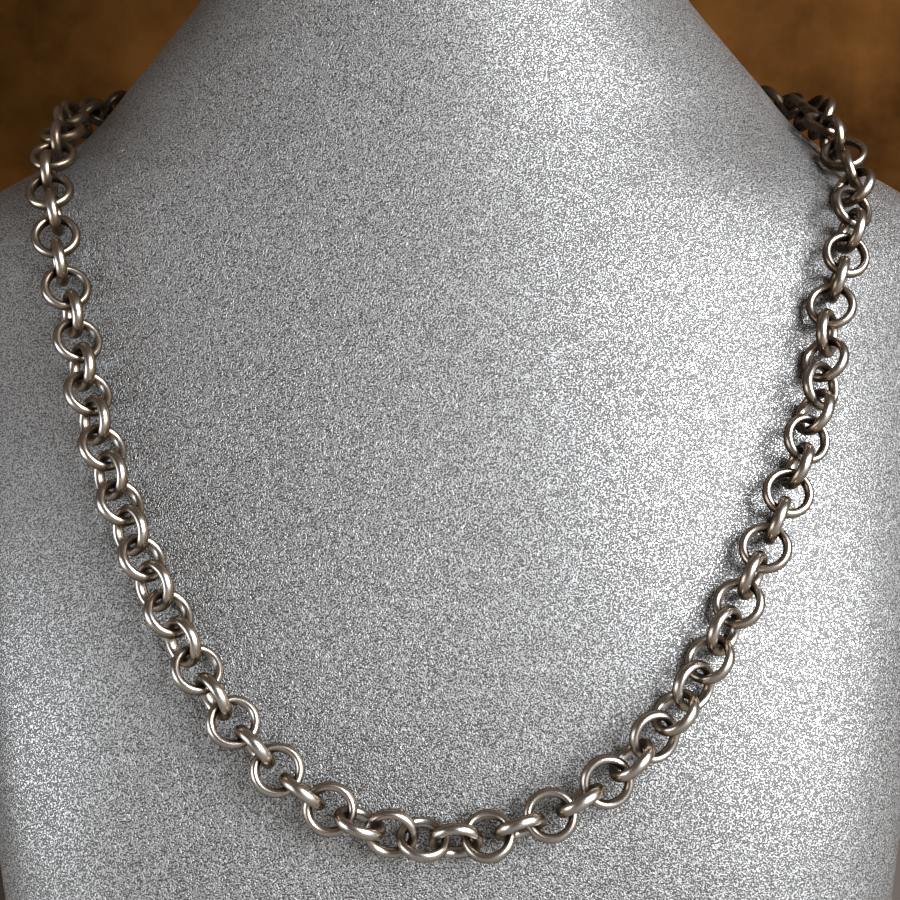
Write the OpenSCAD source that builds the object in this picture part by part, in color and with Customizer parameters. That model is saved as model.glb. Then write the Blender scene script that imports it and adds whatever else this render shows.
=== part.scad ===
// Rolo chain of plain round rings, fastened around a plain covered neck bust.
// Millimetres. Z is up, the front is towards -Y, and the origin is under the middle, on the foot's face.

/* [Bust] */
// Height of the bust from its foot to the top of the neck
bust_h = 250; // [230:1:290]
// Width across the shoulders
shoulder_w = 198; // [182:1:222]
// Width of the foot
foot_w = 132; // [115:1:150]
// Width of the neck at its top
neck_w = 66; // [56:1:76]
// Depth from the front of the foot to the back of the shoulders
bust_d = 120.5; // [112:0.5:132]
// Distance that the neck's front stands back from the front of the foot
lean = 50.5; // [44:0.5:56]
// Rounding of the edges around the foot and around the top of the neck
edge_r = 2.5; // [1:0.5:4]

/* [Chain] */
// Outer diameter of a link
link_d = 8.4; // [7.9:0.1:9.2]
// Thickness of the links' rounded wire, from a link's hole to its outside
link_wire = 1.48; // [1.3:0.02:1.58]
// Width of the same wire, along a link's axis
link_band = 1.9; // [1.6:0.02:2]
// Smallest play between two links that are drawn apart
link_play = 0.4; // [0.3:0.02:0.5]
// Clearance between the chain and the bust's covering
chain_gap = 0.2; // [0.2:0.05:0.5]

/* [Clasp] */
// Length of the clasp
clasp_l = 14; // [12:0.5:17]
// Width of the clasp
clasp_w = 9; // [8.5:0.5:10]
// Diameter of the clasp's rod
clasp_rod = 2; // [1.6:0.1:2.2]

/* [Hidden] */

// Sections of the bust, from the foot to the top of the neck. Up is a share of the height. Out says how far
// the width has come from the foot's, or above the shoulders from the neck's, to the shoulders'. Lean is a
// share of the lean, side and back are shares of the depth, and power says how square the section is.
// Columns: up, out, lean, side, back, power
SECTIONS = [
    [0.000, 0.000, 0.000, 0.210, 0.850, 3.60],
    [0.112, 0.165, 0.059, 0.255, 0.878, 3.50],
    [0.220, 0.325, 0.141, 0.315, 0.905, 3.30],
    [0.312, 0.480, 0.240, 0.385, 0.928, 3.00],
    [0.400, 0.650, 0.356, 0.470, 0.949, 2.60],
    [0.488, 0.820, 0.493, 0.560, 0.968, 2.30],
    [0.552, 0.945, 0.599, 0.620, 0.980, 2.10],
    [0.596, 1.000, 0.670, 0.650, 0.987, 2.00],
    [0.628, 0.930, 0.720, 0.667, 0.991, 1.96],
    [0.652, 0.810, 0.756, 0.678, 0.994, 1.96],
    [0.672, 0.665, 0.784, 0.685, 0.996, 2.00],
    [0.696, 0.535, 0.815, 0.685, 0.998, 2.00],
    [0.728, 0.430, 0.853, 0.685, 1.000, 2.00],
    [0.764, 0.310, 0.890, 0.685, 0.999, 2.00],
    [0.804, 0.185, 0.922, 0.685, 0.994, 2.00],
    [0.852, 0.085, 0.951, 0.685, 0.984, 2.00],
    [0.912, 0.025, 0.977, 0.685, 0.970, 2.00],
    [1.000, 0.000, 1.000, 0.685, 0.954, 2.00]
];
last_row = len(SECTIONS) - 1;
// Row of the table at the shoulders, which is where out is 1
shoulder_row = search(1, SECTIONS, 1, 1)[0];
// Steps between the skin's rings up the bust's height, and the height of one
ring_steps = 42;
ring_step = bust_h / ring_steps;
// Points around each ring of the skin
ring_sides = 60;

// Route of the chain over the skin, from the front centre up the right side, around the back and down the
// left side. Around is the angle from the front, up is a share of the bust's height, and roll is the turn
// of every second link about the route, where 0 lies flat on the skin.
// Columns: around, up, roll
ROUTE = [
    [0, 0.238, -48],
    [14, 0.260, -88],
    [23.5, 0.310, -119],
    [29.5, 0.373, -146],
    [34.5, 0.439, -170],
    [38.5, 0.507, -203],
    [41, 0.574, -248],
    [46.5, 0.622, -276],
    [55, 0.651, -314],
    [66.5, 0.679, -342],
    [80, 0.692, -353],
    [97, 0.706, -360],
    [122, 0.733, -360],
    [150, 0.757, -360],
    [180, 0.767, -360],
    [210, 0.757, -360],
    [238, 0.733, -360],
    [263, 0.706, -360],
    [280, 0.691, -346],
    [297, 0.674, -336],
    [309.2, 0.647, -336],
    [317, 0.617, -336],
    [320.8, 0.570, -322],
    [323.6, 0.504, -307],
    [327, 0.438, -306],
    [331.5, 0.373, -309],
    [337.2, 0.311, -338],
    [346.5, 0.259, -360]
];
// Distance of the first link past the route's start
first_link = 1.2;
// Samples of the route between two of its stations
route_steps = 16;
// Step that the skin's slope is read over, in degrees around it and in millimetres up it
slope_step = 0.2;

// Radius of the centre line of a link's wire, and width of the flat between the wire's rounded edges
link_r = (link_d - link_wire) / 2;
link_flat = link_band - link_wire;
// Largest distance between the centres of two links
reach = link_d - 2 * link_wire - link_play;
// Extra distance between the clasp's centre and the centre of the link on either side of it
clasp_extra = (clasp_l / 2 - clasp_rod) - (link_d / 2 - link_wire);
// Height of the chain at the back, which is its highest place
back_z = bust_h * max([for (stop = ROUTE) stop[1]]);

$fn = 48;

// Sections in millimetres: height, half width, front, side line, back and power
sections = [for (i = [0:last_row]) section_row(SECTIONS[i], i <= shoulder_row ? foot_w : neck_w)];

function section_row(share, end_w) = [
    share[0] * bust_h,
    (end_w + (shoulder_w - end_w) * share[1]) / 2,
    share[2] * lean,
    share[3] * bust_d,
    share[4] * bust_d,
    share[5]
];

// Change of every column for a millimetre of height between row i and the next
function rise(i) = (sections[i + 1] - sections[i]) / (sections[i + 1][0] - sections[i][0]);

// Slope of two changes that meet at a row, flat where the column turns
function blend(a, b) = a * b <= 0 ? 0 : 2 * a * b / (a + b);

// Slope of every column at each row
slopes = [for (i = [0:last_row])
    i == 0 ? rise(0) :
    i == last_row ? rise(last_row - 1) :
    [for (column = [0:5]) blend(rise(i - 1)[column], rise(i)[column])]
];

// Row below a height
function row_below(z) = max([for (i = [0:last_row - 1]) if (i == 0 || sections[i][0] <= z) i]);

// Smooth section at any height
function section(z) =
    let (i = row_below(z))
    let (h = sections[i + 1][0] - sections[i][0])
    let (t = (z - sections[i][0]) / h)
    sections[i] * (1 + 2 * t) * pow(1 - t, 2)
    + sections[i + 1] * t * t * (3 - 2 * t)
    + slopes[i] * h * t * pow(1 - t, 2)
    + slopes[i + 1] * h * t * t * (t - 1);

// Middle of the whole part, between the foot's front and the back of the links that stand on edge there
mid_y = (section(back_z)[4] + chain_gap + link_d) / 2;

// Point of the skin at an angle around from the front and a height, moved in by an inset
function skin(around, z, inset = 0) =
    let (s = section(z))
    let (power = s[5])
    let (r = pow(pow(abs(sin(around)), power) + pow(abs(cos(around)), power), -1 / power))
    let (depth = cos(around) > 0 ? s[3] - s[2] : s[4] - s[3])
    [(s[1] - inset) * r * sin(around), s[3] - (depth - inset) * r * cos(around) - mid_y, z];

function unit(v) = v / norm(v);

// Direction straight out of the skin
function skin_out(around, z) = unit(cross(
    skin(around + slope_step, z) - skin(around - slope_step, z),
    skin(around, z + slope_step) - skin(around, z - slope_step)
));

// Station i of the route, which goes on for another turn after its last one
function station(i) =
    let (turn = floor(i / len(ROUTE)))
    ROUTE[i - turn * len(ROUTE)] + turn * [360, 0, -360];

// Smooth route at any place t, counted in stations
function route(t) =
    let (i = floor(t))
    let (f = t - i)
    let (a = station(i - 1))
    let (b = station(i))
    let (c = station(i + 1))
    let (d = station(i + 2))
    b + ((c - a) * f + (2 * a - 5 * b + 4 * c - d) * f * f + (3 * b - a - 3 * c + d) * f * f * f) / 2;

// Point of the chain's centre line: over the skin by as much as the steeper of two links needs
function chain_point(t) =
    let (place = route(t))
    let (z = place[1] * bust_h)
    let (tilt = max(abs(sin(place[2])), abs(cos(place[2]))))
    let (reach_in = link_r * tilt + link_flat / 2 * sqrt(1 - tilt * tilt) + link_wire / 2)
    skin(place[0], z) + (reach_in + chain_gap) * skin_out(place[0], z);

// Length of the route up to each of its samples
samples = len(ROUTE) * route_steps;
points = [for (i = [0:samples]) chain_point(i / route_steps)];
gaps = [for (i = [0:samples - 1]) norm(points[i + 1] - points[i])];
lengths = [for (i = 0, sum = 0; i <= samples; sum = sum + (i < samples ? gaps[i] : 0), i = i + 1) sum];
places = [for (i = [0:samples]) [lengths[i], i / route_steps]];

// Number of links, the clasp counted as one, and the distance between them
link_count = 2 * ceil((lengths[samples] - 2 * clasp_extra) / reach / 2);
pitch = (lengths[samples] - 2 * clasp_extra) / link_count;
clasp_place = 2 * floor(link_count / 4);

// Place on the route of link i, counted on from the first link or back from it
function link_place(i) =
    let (link = (i + link_count) % link_count)
    let (extra = link < clasp_place ? 0 : link == clasp_place ? clasp_extra : 2 * clasp_extra)
    lookup(first_link + link * pitch + extra, places);

// Centre of link i
function link_centre(i) = chain_point(link_place(i));

// Draws its children at link i, with X along the chain and Z along the link's own axis
module at_link(i) {
    spot = route(link_place(i));
    along = unit(link_centre(i + 1) - link_centre(i - 1));
    side = unit(cross(along, skin_out(spot[0], spot[1] * bust_h)));
    out = cross(side, along);
    roll = spot[2] + (i % 2) * 90;
    axis = cos(roll) * out - sin(roll) * side;
    across = cross(axis, along);
    centre = link_centre(i);
    multmatrix([
        [along[0], across[0], axis[0], centre[0]],
        [along[1], across[1], axis[1], centre[1]],
        [along[2], across[2], axis[2], centre[2]],
        [0, 0, 0, 1]
    ]) children();
}

// One plain round ring of wire that is wider than it is thick, with rounded edges
module ring() {
    rotate_extrude() translate([link_r, 0]) {
        for (end = [-1, 1]) translate([0, end * link_flat / 2]) circle(d = link_wire);
        square([link_wire, link_flat], center = true);
    }
}

// Links from one number up to another
module links(first, last) {
    for (i = [first:last]) at_link(i) ring();
}

// Rings of the skin, each a height and an inset: around the foot's edge, up the body, around the top's edge
foot_edge = [for (a = [0:30:90]) [edge_r * (1 - cos(a)), edge_r * (1 - sin(a))]];
body_rings = [for (i = [0:last_row - 1])
    let (low = sections[i][0])
    let (high = sections[i + 1][0])
    let (n = ceil((high - low) / ring_step))
    for (k = [0:n - 1])
        let (z = low + (high - low) * k / n)
        if (z > edge_r + ring_step / 3 && z < bust_h - edge_r - ring_step / 3) [z, 0]
];
top_edge = [for (a = [90:-30:0]) [bust_h - edge_r * (1 - cos(a)), edge_r * (1 - sin(a))]];
rings = concat(foot_edge, body_rings, top_edge);

// Solid bust with a flat foot: the rings' skin, from just under the foot so that the foot is cut flat
module neck_bust() {
    n = ring_sides;
    under = [for (k = [0:n - 1]) skin(k * 360 / n, 0, edge_r) - [0, 0, edge_r]];
    body = [for (r = rings, k = [0:n - 1]) skin(k * 360 / n, r[0], r[1])];
    walls = [for (j = [0:len(rings) - 1], k = [0:n - 1])
        let (low = j * n)
        let (next = (k + 1) % n)
        each [
            [low + k, low + n + k, low + n + next],
            [low + k, low + n + next, low + next]
        ]
    ];
    bottom = [for (k = [0:n - 1]) k];
    top = [for (k = [n - 1:-1:0]) len(rings) * n + k];
    color([0.66, 0.67, 0.68]) intersection() {
        polyhedron(concat(under, body), concat([bottom], walls, [top]));
        translate([-shoulder_w, -bust_d, 0]) cube([2 * shoulder_w, 2 * bust_d, 2 * bust_h]);
    }
}

module chain_right() {
    color([0.78, 0.76, 0.73]) links(0, clasp_place - 1);
}

module chain_left() {
    color([0.78, 0.76, 0.73]) links(clasp_place + 1, link_count - 1);
}

// Plain oval in the place of one link, which both ends of the chain pass through
module clasp() {
    bend = (clasp_w - clasp_rod) / 2;
    straight = clasp_l - clasp_w;
    color([0.75, 0.73, 0.70]) at_link(clasp_place) {
        for (end = [-1, 1]) {
            translate([end * straight / 2, 0, 0]) rotate([0, 0, -90 * end])
                rotate_extrude(angle = 180) translate([bend, 0]) circle(d = clasp_rod);
            translate([-straight / 2, end * bend, 0]) rotate([0, 90, 0])
                cylinder(h = straight, d = clasp_rod);
        }
    }
}

neck_bust();
chain_left();
chain_right();
clasp();
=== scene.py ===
"""Rolo chain fastened around a covered neck bust.

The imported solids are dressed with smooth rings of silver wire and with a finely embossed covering.
Lengths are in metres, in the same frame as the solids.
"""

import math
from collections import namedtuple

import bpy
import numpy as np
from mathutils import Matrix, Vector


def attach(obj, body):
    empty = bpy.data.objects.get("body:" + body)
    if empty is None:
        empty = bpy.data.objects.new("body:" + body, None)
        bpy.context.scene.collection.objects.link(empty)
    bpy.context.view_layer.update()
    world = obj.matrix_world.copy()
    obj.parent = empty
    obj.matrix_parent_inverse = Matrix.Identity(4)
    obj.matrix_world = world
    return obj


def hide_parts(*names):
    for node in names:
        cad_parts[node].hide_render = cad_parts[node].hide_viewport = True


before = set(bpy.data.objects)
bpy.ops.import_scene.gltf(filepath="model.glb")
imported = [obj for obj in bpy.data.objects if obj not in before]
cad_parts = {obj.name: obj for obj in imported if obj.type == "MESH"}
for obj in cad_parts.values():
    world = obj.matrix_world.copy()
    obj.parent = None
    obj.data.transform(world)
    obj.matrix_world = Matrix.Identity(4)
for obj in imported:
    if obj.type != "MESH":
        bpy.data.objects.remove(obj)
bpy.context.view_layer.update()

# Camera: the photograph's viewing angle, found from the links' sizes and spacing
IMAGE_SIDE = 900
FOCAL_PIXELS = 1500
SENSOR_WIDTH = 36
CAMERA_PLACE = Vector((0.00065, -0.28116, 0.1433))
CAMERA_PITCH = math.radians(-6)
CAMERA_ROLL = math.radians(-0.35)
CAMERA_CLIP_START = 0.01

# Lights: a soft key from the upper right and a weak fill near the lower left
LIGHTS = {
    "key": {
        "place": (0.600, -0.660, 0.450),
        "target": (0, -0.03, 0.14),
        "side": 0.68,
        "power": 11.9,
        "colour": (0.97, 0.985, 1.0),
    },
    "fill": {
        "place": (-0.320, -0.170, 0.040),
        "target": (-0.08, -0.03, 0.04),
        "side": 0.24,
        "power": 0.48,
        "colour": (0.92, 0.965, 1.0),
    },
}

# Room: its dim colour, and the brown backdrop, which fades in towards +Y and brightens towards +X
ROOM_COLOUR = (0.070, 0.047, 0.031, 1)
BACKDROP_FADE = (0.2, 0.85)
BACKDROP_SIDES = (-0.35, 0.35)
BACKDROP_TONES = [(0.0, (0.066, 0.027, 0.006)), (1.0, (0.185, 0.074, 0.019))]
MOTTLE_SCALE = 11
MOTTLE_DETAIL = 5
MOTTLE_ROUGHNESS = 0.6
MOTTLE_TONES = [(0.36, (0.32, 0.32, 0.32)), (0.66, (1, 1, 1))]

# Floor
FLOOR_SIZE = 6.0
FLOOR_COLOUR = (0.30, 0.27, 0.24, 1)
FLOOR_ROUGHNESS = 0.8

# Bust: finer steps around and up between the solid's own points
STEPS_AROUND = 4
STEP_UP = 0.0015

# Covering: noises turned different ways add up to ridges, and a narrow spread makes them crisp
RIDGE_SPACING = 0.00024
RIDGE_TURNS = [(0.4, 0.7, 0.2), (1.3, 0.2, 0.9), (2.1, 1.1, 0.5)]
RIDGE_SPREAD = 0.26
RIDGE_STRENGTH = 1.0
RIDGE_DEPTH = 0.0001
# Tones from groove to ridge: the covering's own tone, with painted shade that darkens the grooves
GROOVE_SHADE_AND_RIDGE_TONES = [(0.0, (0.18, 0.18, 0.177)), (0.40, (0.52, 0.525, 0.535)), (1.0, (0.79, 0.805, 0.82))]
PATCH_SCALE = 45
PATCH_DETAIL = 3
PATCH_ROUGHNESS = 0.6
PATCH_TONES = [(0.35, (0.95, 0.945, 0.94)), (0.65, (1, 1, 1))]
COVERING_METALLIC = 0.80
COVERING_ROUGHNESS = (0.44, 0.37)

# Silver: smudges in its colour, and scratches in its gloss, stretched along the wire of a ring
SMUDGE_SCALE = 420
SMUDGE_DETAIL = 3
SMUDGE_ROUGHNESS = 0.55
SILVER_TONES = [(0.30, (0.74, 0.70, 0.65)), (0.62, (0.93, 0.905, 0.87))]
SILVER_TINT = (0.50, 0.43, 0.36, 1)
SILVER_ROUGHNESS = (0.22, 0.34)
RING_SCRATCHES = (3, 60, 1)
CLASP_SCRATCHES = (900, 900, 900)
SCRATCH_DETAIL = 4
SCRATCH_ROUGHNESS = 0.6
SCRATCH_CONTRAST = (0.3, 0.7)
SCRATCH_STRENGTH = 0.35
SCRATCH_DEPTH = 0.00003

# Patina and painted shade: their tones from clean to full, and the metallic value that they lower from
# half way on
PATINA_AND_SHADE_TONES = [
    (0.0, (1, 1, 1)),
    (0.35, (0.66, 0.55, 0.44)),
    (0.70, (0.13, 0.092, 0.06)),
    (1.0, (0.03, 0.02, 0.013)),
]
PATINA_AND_SHADE_DULLS = (0.5, 1.0)
PATINA_AND_SHADE_METALLIC = (1.0, 0.35)

# Patina with painted contact shade gathers within this reach of another wire, and painted shade
# darkens the wire where it faces along or into the skin
CONTACT_PATINA_AND_SHADE_REACH = 0.0014
CONTACT_PATINA_AND_SHADE_FALLOFF = 1.5
# Painted shade on the wire's sides: where it starts and where it is full, by how far the wire faces
# out of the skin, and its share
SIDE_SHADE_START_FACING = 0.84
SIDE_SHADE_FULL_FACING = 0.05
SIDE_SHADE_SHARE = 0.90

# Chain: facets along a ring and around its wire, and the shift of the scratches from ring to ring
RING_FACETS = 60
WIRE_FACETS = 24
SCRATCH_SHIFT = np.array([0.37, 0.61])

# Reading of the solids: decimals that points are rounded to
POINT_DECIMALS = 6
ROW_DECIMALS = 5
# How far a point may lie from its row, and the angle that keeps the front's point first in it
ROW_TOLERANCE = 2e-5
SEAM_MARGIN = 0.01
# Rounds of fitting a ring, and the share of its reach past which a point is on its rim
FIT_ROUNDS = 3
RIM_SHARE = 0.97
# Points that tell which way the skin faces
SKIN_NEIGHBOURS = 12

# Numbers of the sockets of a colour mix, whose names repeat
MIX_SHARE = 0
MIX_FIRST = 6
MIX_SECOND = 7
MIX_RESULT = 2

Ring = namedtuple("Ring", ["centre", "axis", "radius", "half_thick", "half_wide"])


def link_object(name, data):
    """New object in the scene."""
    piece = bpy.data.objects.new(name, data)
    bpy.context.scene.collection.objects.link(piece)
    return piece


def make_camera():
    """Camera of the photograph."""
    lens = bpy.data.cameras.new("camera")
    lens.sensor_width = SENSOR_WIDTH
    lens.lens = FOCAL_PIXELS / IMAGE_SIDE * SENSOR_WIDTH
    lens.clip_start = CAMERA_CLIP_START
    camera = link_object("camera", lens)
    tilt = Matrix.Rotation(math.radians(90) + CAMERA_PITCH, 4, "X")
    roll = Matrix.Rotation(CAMERA_ROLL, 4, "Z")
    camera.matrix_world = Matrix.Translation(CAMERA_PLACE) @ tilt @ roll
    bpy.context.scene.camera = camera


def add_light(name, place, target, side, power, colour):
    """Soft square light that faces a target."""
    data = bpy.data.lights.new(name, "AREA")
    data.shape = "SQUARE"
    data.size = side
    data.energy = power
    data.color = colour
    light = link_object(name, data)
    light.location = place
    light.rotation_euler = (Vector(target) - Vector(place)).to_track_quat("-Z", "Y").to_euler()


def new_mesh_object(name, points, faces, material):
    """Smooth mesh object from points and faces."""
    mesh = bpy.data.meshes.new(name)
    mesh.from_pydata([tuple(p) for p in points], [], [tuple(f) for f in faces])
    mesh.update()
    mesh.polygons.foreach_set("use_smooth", [True] * len(mesh.polygons))
    mesh.materials.append(material)
    return link_object(name, mesh)


def new_material(name):
    """Node material, with its node tree and its shader."""
    material = bpy.data.materials.new(name)
    material.use_nodes = True
    tree = material.node_tree
    shader = next(n for n in tree.nodes if n.type == "BSDF_PRINCIPLED")
    return material, tree, shader


def set_inputs(tree, node, inputs):
    """Sets or links a node's inputs, given by name or number."""
    for key, value in inputs.items():
        if isinstance(value, bpy.types.NodeSocket):
            tree.links.new(value, node.inputs[key])
        else:
            node.inputs[key].default_value = value


def add_node(tree, kind, inputs=None, **settings):
    """New node of a kind, with its settings and its inputs."""
    node = tree.nodes.new(kind)
    for key, value in settings.items():
        setattr(node, key, value)
    set_inputs(tree, node, inputs or {})
    return node


def colour_ramp(tree, factor, stops):
    """Colour along a ramp between stops of (position, colour)."""
    node = add_node(tree, "ShaderNodeValToRGB", {"Fac": factor})
    ramp = node.color_ramp
    while len(ramp.elements) < len(stops):
        ramp.elements.new(0.5)
    for element, (position, colour) in zip(ramp.elements, stops):
        element.position = position
        element.color = (*colour, 1)
    return node.outputs["Color"]


def noise(tree, place, scale, detail, roughness=0.5):
    """Noise from 0 to 1 at a place."""
    inputs = {"Vector": place, "Scale": scale, "Detail": detail, "Roughness": roughness}
    return add_node(tree, "ShaderNodeTexNoise", inputs).outputs["Fac"]


def map_range(tree, value, before=(0, 1), after=(0, 1), **settings):
    """Value moved from the range before to the range after."""
    inputs = {
        "Value": value,
        "From Min": before[0],
        "From Max": before[1],
        "To Min": after[0],
        "To Max": after[1],
    }
    return add_node(tree, "ShaderNodeMapRange", inputs, **settings).outputs["Result"]


def mix_colours(tree, share, first, second, **settings):
    """Mix of two colours by the share of the second."""
    inputs = {MIX_SHARE: share, MIX_FIRST: first, MIX_SECOND: second}
    return add_node(tree, "ShaderNodeMix", inputs, data_type="RGBA", **settings).outputs[MIX_RESULT]


def multiply(tree, first, second):
    """Product of two colours."""
    return mix_colours(tree, 1.0, first, second, blend_type="MULTIPLY")


def bump(tree, height, strength, depth):
    """Normals of a surface with small heights."""
    inputs = {"Height": height, "Strength": strength, "Distance": depth}
    return add_node(tree, "ShaderNodeBump", inputs).outputs["Normal"]


def wavy_ridges(tree, place):
    """Height from 0 to 1 of short wavy ridges, which run every way along the skin."""
    total = 0.0
    for turn in RIDGE_TURNS:
        turned = add_node(tree, "ShaderNodeMapping", {"Vector": place, "Rotation": turn})
        wave = noise(tree, turned.outputs["Vector"], 1 / RIDGE_SPACING, 0)
        total = add_node(tree, "ShaderNodeMath", {0: total, 1: wave}, operation="ADD").outputs[0]
    middle = len(RIDGE_TURNS) / 2
    span = (middle - RIDGE_SPREAD, middle + RIDGE_SPREAD)
    return map_range(tree, total, before=span, interpolation_type="SMOOTHSTEP")


def covering_material():
    """Silver-grey leatherette, embossed with short wavy ridges, its grooves darkened with painted
    shade.
    """
    material, tree, shader = new_material("silver_leatherette")
    place = add_node(tree, "ShaderNodeTexCoord").outputs["Object"]
    ridges = wavy_ridges(tree, place)
    # The covering's tone, with painted shade darkening the grooves between the ridges
    groove_shade_and_tone = colour_ramp(tree, ridges, GROOVE_SHADE_AND_RIDGE_TONES)
    patches = noise(tree, place, PATCH_SCALE, PATCH_DETAIL, PATCH_ROUGHNESS)
    cloud = colour_ramp(tree, patches, PATCH_TONES)
    surface = {
        "Base Color": multiply(tree, groove_shade_and_tone, cloud),
        "Metallic": COVERING_METALLIC,
        "Roughness": map_range(tree, ridges, after=COVERING_ROUGHNESS),
        "Normal": bump(tree, ridges, RIDGE_STRENGTH, RIDGE_DEPTH),
    }
    set_inputs(tree, shader, surface)
    return material


def silver_material(name, coordinate, stretch, has_patina_and_shade):
    """Satin-polished silver with smudges and fine scratches, darker where it has patina and painted
    shade.
    """
    material, tree, shader = new_material(name)
    place = add_node(tree, "ShaderNodeTexCoord").outputs
    stretched = add_node(tree, "ShaderNodeMapping", {"Vector": place[coordinate], "Scale": stretch})
    scratches = noise(tree, stretched.outputs["Vector"], 1.0, SCRATCH_DETAIL, SCRATCH_ROUGHNESS)
    smudges = noise(tree, place["Object"], SMUDGE_SCALE, SMUDGE_DETAIL, SMUDGE_ROUGHNESS)
    colour = colour_ramp(tree, smudges, SILVER_TONES)
    metallic = 1.0
    if has_patina_and_shade:
        patina_and_shade = add_node(tree, "ShaderNodeAttribute", attribute_name="patina_and_shade").outputs["Fac"]
        # Darker tones and duller metal where the attribute marks patina and painted shade
        colour = multiply(tree, colour, colour_ramp(tree, patina_and_shade, PATINA_AND_SHADE_TONES))
        metallic = map_range(tree, patina_and_shade, before=PATINA_AND_SHADE_DULLS, after=PATINA_AND_SHADE_METALLIC)
    surface = {
        "Base Color": colour,
        "Metallic": metallic,
        "Roughness": map_range(tree, scratches, before=SCRATCH_CONTRAST, after=SILVER_ROUGHNESS),
        "Specular Tint": SILVER_TINT,
        "Normal": bump(tree, scratches, SCRATCH_STRENGTH, SCRATCH_DEPTH),
    }
    set_inputs(tree, shader, surface)
    return material


def floor_material():
    """Plain grey-brown floor."""
    material, tree, shader = new_material("plain_floor")
    set_inputs(tree, shader, {"Base Color": FLOOR_COLOUR, "Roughness": FLOOR_ROUGHNESS})
    return material


def solid_points(node):
    """Points of a solid, in the order of its mesh."""
    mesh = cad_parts[node].data
    points = np.empty(len(mesh.vertices) * 3)
    mesh.vertices.foreach_get("co", points)
    return points.reshape(-1, 3).round(POINT_DECIMALS)


def flat_normal(points):
    """Normal of the plane that lies nearest to points."""
    return np.linalg.svd(points - points.mean(axis=0), full_matrices=False)[2][2]


def split_offsets(points, centre, axis):
    """Height of each point along an axis through a centre, and its offset across that axis."""
    offsets = points - centre
    height = offsets @ axis
    return height, offsets - np.outer(height, axis)


def skin_grid(skin):
    """The bust's points as a grid: a row for each height, each row in order around from the front."""
    rows = []
    for height in np.unique(skin[:, 2].round(ROW_DECIMALS)):
        row = skin[np.abs(skin[:, 2] - height) < ROW_TOLERANCE]
        middle = (row[:, 1].min() + row[:, 1].max()) / 2
        angle = np.arctan2(row[:, 0], middle - row[:, 1])
        rows.append(row[np.argsort((angle + SEAM_MARGIN) % (2 * math.pi))])
    width = max(len(row) for row in rows)
    return np.array([row for row in rows if len(row) == width])


def smooth_between(points, place, wanted):
    """Smooth curve through rows of points at given places, read at the wanted places."""
    gap = np.diff(place)
    change = np.diff(points, axis=0) / gap[:, None, None]
    slope = np.empty_like(points)
    slope[0] = change[0]
    slope[-1] = change[-1]
    before, after = gap[:-1, None, None], gap[1:, None, None]
    slope[1:-1] = (after * change[:-1] + before * change[1:]) / (before + after)
    i = np.clip(np.searchsorted(place, wanted, side="right") - 1, 0, len(gap) - 1)
    t = ((wanted - place[i]) / gap[i])[:, None, None]
    h = gap[i][:, None, None]
    return (
        points[i] * (1 + 2 * t) * (1 - t) ** 2
        + points[i + 1] * t**2 * (3 - 2 * t)
        + slope[i] * h * t * (1 - t) ** 2
        + slope[i + 1] * h * t**2 * (t - 1)
    )


def finer_rows(rows):
    """The grid with smooth rows added between its own, about STEP_UP apart."""
    spans = np.linalg.norm(np.diff(rows, axis=0), axis=2).mean(axis=1)
    place = np.concatenate([[0], np.cumsum(spans)])
    wanted = []
    for low, high in zip(place[:-1], place[1:]):
        count = max(1, round((high - low) / STEP_UP))
        wanted.extend(np.linspace(low, high, count, endpoint=False))
    wanted.append(place[-1])
    return smooth_between(rows, place, np.array(wanted))


def finer_columns(rows):
    """The grid with smooth columns added around it, which close on themselves."""
    around = rows.transpose(1, 0, 2)
    count = len(around)
    padded = np.concatenate([around[-2:], around, around[:3]])
    place = np.arange(-2, count + 3, dtype=float)
    wanted = np.arange(count * STEPS_AROUND) / STEPS_AROUND
    return smooth_between(padded, place, wanted).transpose(1, 0, 2)


def make_bust(skin, material):
    """Smooth covered bust in the place of the solid one."""
    grid = finer_columns(finer_rows(skin_grid(skin)))
    high, wide = grid.shape[:2]
    points = list(grid.reshape(-1, 3))
    faces = []
    for j in range(high - 1):
        for k in range(wide):
            after = (k + 1) % wide
            low, up = j * wide, (j + 1) * wide
            faces.append((low + k, low + after, up + after, up + k))
    foot, top = len(points), len(points) + 1
    points.append(grid[0].mean(axis=0))
    points.append(grid[-1].mean(axis=0))
    last = (high - 1) * wide
    for k in range(wide):
        after = (k + 1) % wide
        faces.append((foot, after, k))
        faces.append((top, last + k, last + after))
    bust = new_mesh_object("bust_covering", points, faces, material)
    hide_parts("neck_bust")
    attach(bust, "root")


def loose_parts(node):
    """Points of each loose ring of a chain node."""
    spots, member = np.unique(solid_points(node), axis=0, return_inverse=True)
    member = member.ravel()
    group = np.arange(len(spots))

    def leader(i):
        """Point that stands for the whole group of a point."""
        while group[i] != i:
            group[i] = group[group[i]]
            i = group[i]
        return i

    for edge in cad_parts[node].data.edges:
        a = leader(member[edge.vertices[0]])
        b = leader(member[edge.vertices[1]])
        group[a] = b
    leaders = np.array([leader(i) for i in range(len(spots))])
    return [spots[leaders == i] for i in np.unique(leaders)]


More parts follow.
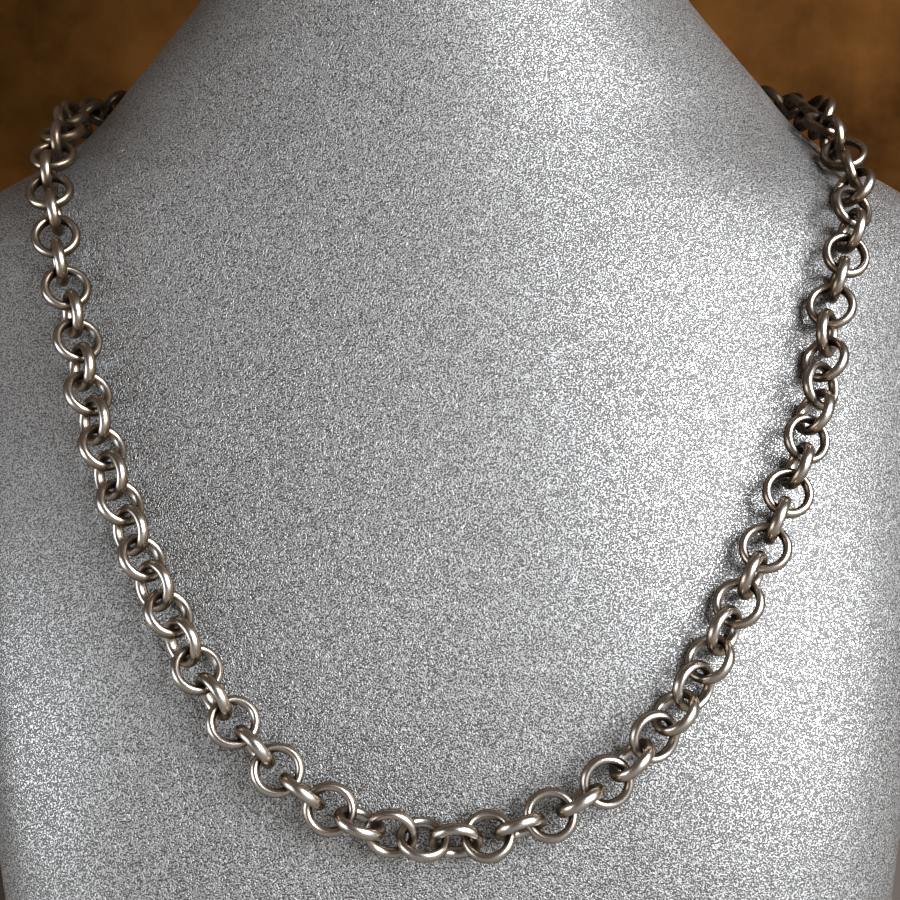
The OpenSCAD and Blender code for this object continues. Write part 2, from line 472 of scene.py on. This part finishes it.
def fit_ring(points):
    """Ring that a loose part of the chain is, found from its points."""
    centre = (points.min(axis=0) + points.max(axis=0)) / 2
    for _ in range(FIT_ROUNDS):
        axis = flat_normal(points - centre)
        height, flat = split_offsets(points, centre, axis)
        design = np.c_[2 * flat, np.ones(len(flat))]
        reach = np.linalg.norm(flat, axis=1)
        rim = reach > reach.max() * RIM_SHARE
        shift = np.linalg.lstsq(design[rim], reach[rim] ** 2, rcond=None)[0][:3]
        centre = centre + shift - axis * (shift @ axis) + axis * (height.max() + height.min()) / 2
    height, flat = split_offsets(points, centre, axis)
    reach = np.linalg.norm(flat, axis=1)
    return Ring(
        centre=centre,
        axis=axis,
        radius=(reach.max() + reach.min()) / 2,
        half_thick=(reach.max() - reach.min()) / 2,
        half_wide=(height.max() - height.min()) / 2,
    )


def wire_gap(points, ring):
    """Distance from points to a ring's wire."""
    height, flat = split_offsets(points, ring.centre, ring.axis)
    thick = (np.linalg.norm(flat, axis=1) - ring.radius) / ring.half_thick
    return (np.hypot(thick, height / ring.half_wide) - 1) * ring.half_thick


def skin_out(skin, place):
    """Direction out of the bust's skin at its points nearest to a place."""
    distance = np.linalg.norm(skin - place, axis=1)
    near = skin[np.argsort(distance)[:SKIN_NEIGHBOURS]]
    out = flat_normal(near)
    return out if out @ (place - near.mean(axis=0)) > 0 else -out


def ring_mesh(ring, along):
    """Points of a smooth ring whose first facet lies towards along, and its normals."""
    first = along - ring.axis * (along @ ring.axis)
    first = first / np.linalg.norm(first)
    second = np.cross(ring.axis, first)
    turn = np.linspace(0, 2 * math.pi, RING_FACETS, endpoint=False)
    spoke = (np.outer(np.cos(turn), first) + np.outer(np.sin(turn), second))[:, None, :]
    around = np.linspace(0, 2 * math.pi, WIRE_FACETS, endpoint=False)
    out = (ring.radius + ring.half_thick * np.cos(around))[None, :, None]
    aside = (ring.half_wide * np.sin(around))[None, :, None]
    lean = np.array([np.cos(around) / ring.half_thick, np.sin(around) / ring.half_wide])
    lean = lean / np.linalg.norm(lean, axis=0)
    points = ring.centre + spoke * out + aside * ring.axis
    normals = spoke * lean[0][None, :, None] + lean[1][None, :, None] * ring.axis
    return points.reshape(-1, 3), normals.reshape(-1, 3)


def ring_faces_and_corners():
    """Faces of one ring and the UV place of each of their corners."""
    faces = []
    corners = []
    for i in range(RING_FACETS):
        for k in range(WIRE_FACETS):
            steps = [(i, k), (i + 1, k), (i + 1, k + 1), (i, k + 1)]
            faces.append([a % RING_FACETS * WIRE_FACETS + b % WIRE_FACETS for a, b in steps])
            corners.extend([(a / RING_FACETS, b / WIRE_FACETS) for a, b in steps])
    return np.array(faces), np.array(corners)


def ring_patina_and_shade(spots, normals, neighbours, out):
    """Patina and painted shade at a ring's points: patina with painted contact shade from neighbouring
    wire, and painted shade from the way out of the skin.
    """
    gap = np.min([wire_gap(spots, ring) for ring in neighbours], axis=0)
    # Patina in the joints, deepened with painted contact shade, within reach of another wire
    contact_patina_and_shade = np.clip(1 - gap / CONTACT_PATINA_AND_SHADE_REACH, 0, 1) ** CONTACT_PATINA_AND_SHADE_FALLOFF
    # Painted shade on the sides of the wire, which face along or into the skin
    side_shade = np.clip((SIDE_SHADE_START_FACING - normals @ out) / (SIDE_SHADE_START_FACING - SIDE_SHADE_FULL_FACING), 0, 1)
    return np.clip(contact_patina_and_shade + SIDE_SHADE_SHARE * side_shade, 0, 1)


def make_chain(node, rings, every_ring, skin, material):
    """Smooth rings in the place of one chain node, with their patina and painted shade."""
    centres = np.array([ring.centre for ring in every_ring])
    ring_faces, ring_corners = ring_faces_and_corners()
    points = []
    faces = []
    patina_and_shade = []
    corners = []
    for number, ring in enumerate(rings):
        nearest = np.argsort(np.linalg.norm(centres - ring.centre, axis=1))
        neighbours = [every_ring[i] for i in nearest[1:3]]
        spots, normals = ring_mesh(ring, neighbours[0].centre - ring.centre)
        points.append(spots)
        faces.append(ring_faces + number * len(spots))
        patina_and_shade.append(ring_patina_and_shade(spots, normals, neighbours, skin_out(skin, ring.centre)))
        corners.append(ring_corners + number * SCRATCH_SHIFT)
    piece = new_mesh_object(node + "_rings", np.concatenate(points), np.concatenate(faces), material)
    mesh = piece.data
    mesh.attributes.new("patina_and_shade", "FLOAT", "POINT").data.foreach_set("value", np.concatenate(patina_and_shade))
    mesh.uv_layers.new(name="along_wire").data.foreach_set("uv", np.concatenate(corners).ravel())
    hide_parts(node)
    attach(piece, "root")


def make_chains(skin):
    """Both halves of the chain."""
    silver = silver_material("silver", "UV", RING_SCRATCHES, True)
    nodes = ("chain_left", "chain_right")
    halves = {node: [fit_ring(points) for points in loose_parts(node)] for node in nodes}
    every_ring = halves["chain_left"] + halves["chain_right"]
    for node, rings in halves.items():
        make_chain(node, rings, every_ring, skin, silver)


def finish_clasp():
    """Silver on the clasp's own solid."""
    silver = silver_material("clasp_silver", "Object", CLASP_SCRATCHES, False)
    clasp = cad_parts["clasp"]
    if not clasp.data.materials:
        clasp.data.materials.append(silver)
    for place in clasp.material_slots:
        place.link = "OBJECT"
        place.material = silver


def make_floor():
    """Floor under the bust."""
    side = FLOOR_SIZE / 2
    corners = [(-side, -side, 0), (side, -side, 0), (side, side, 0), (-side, side, 0)]
    floor = new_mesh_object("floor", corners, [(0, 1, 2, 3)], floor_material())


def make_world():
    """Dim warm room with a mottled brown backdrop far behind the bust."""
    world = bpy.data.worlds.new("room")
    bpy.context.scene.world = world
    world.use_nodes = True
    tree = world.node_tree
    background = next(n for n in tree.nodes if n.type == "BACKGROUND")
    direction = add_node(tree, "ShaderNodeTexCoord").outputs["Generated"]
    parts = add_node(tree, "ShaderNodeSeparateXYZ", {"Vector": direction}).outputs
    behind = map_range(tree, parts["Y"], before=BACKDROP_FADE)
    across = map_range(tree, parts["X"], before=BACKDROP_SIDES)
    brown = colour_ramp(tree, across, BACKDROP_TONES)
    mottle = noise(tree, direction, MOTTLE_SCALE, MOTTLE_DETAIL, MOTTLE_ROUGHNESS)
    backdrop = multiply(tree, brown, colour_ramp(tree, mottle, MOTTLE_TONES))
    colour = mix_colours(tree, behind, ROOM_COLOUR, backdrop)
    set_inputs(tree, background, {"Color": colour, "Strength": 1.0})


def set_view():
    """Plain display of the picture's tones."""
    bpy.context.scene.view_settings.view_transform = "Standard"


make_camera()
set_view()
make_world()
for light_name, light_values in LIGHTS.items():
    add_light(light_name, **light_values)
make_floor()
bust_skin = np.unique(solid_points("neck_bust"), axis=0)
make_bust(bust_skin, covering_material())
make_chains(bust_skin)
finish_clasp()
